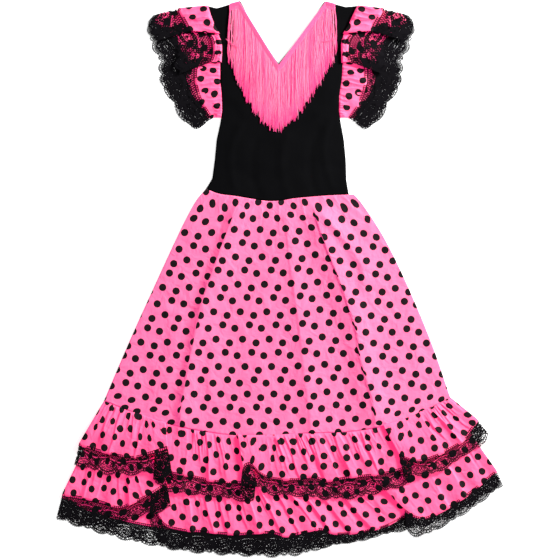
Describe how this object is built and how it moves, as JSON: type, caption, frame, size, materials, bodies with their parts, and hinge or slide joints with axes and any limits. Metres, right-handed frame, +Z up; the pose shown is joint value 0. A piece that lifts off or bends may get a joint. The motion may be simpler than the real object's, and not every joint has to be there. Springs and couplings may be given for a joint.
{
  "type": "flamenco dress",
  "caption": "Girl's flamenco dress laid flat: black V-neck bodice with fringe, ruffled sleeves, dotted skirt and gathered ruffles edged with lace.",
  "frame": {"origin": "middle of the dress's outline as it lies, on the surface that it lies on", "axes": "+Y from the hem to the neck, +Z up from the surface through the front, +X to the right as seen from above the front"},
  "size_m": [0.7223, 0.8989, 0.0158],
  "materials": {
    "bodice_jersey": "matt knitted jersey",
    "dotted_cotton": "smooth woven cloth printed with polka dots",
    "black_lace": "raschel lace with a scalloped edge",
    "pink_fringe": "shiny loop fringe yarn"
  },
  "bodies": {
    "root": {"bodice_back": "bodice_jersey", "bodice_front": "bodice_jersey", "fringe_left": "pink_fringe", "fringe_right": "pink_fringe", "skirt_back": "dotted_cotton", "skirt_front": "dotted_cotton", "ruffle_upper_back": "dotted_cotton", "ruffle_upper_front": "dotted_cotton", "ruffle_lower_back": "dotted_cotton", "ruffle_lower_front": "dotted_cotton", "lace_upper_back": "black_lace", "lace_upper_front": "black_lace", "lace_lower_back": "black_lace", "lace_lower_front": "black_lace", "sleeve_left_back": "dotted_cotton", "sleeve_left_front": "dotted_cotton", "sleeve_right_back": "dotted_cotton", "sleeve_right_front": "dotted_cotton", "lace_sleeve_left_back": "black_lace", "lace_sleeve_left_front": "black_lace", "lace_sleeve_right_back": "black_lace", "lace_sleeve_right_front": "black_lace"}
  },
  "joints": []
}
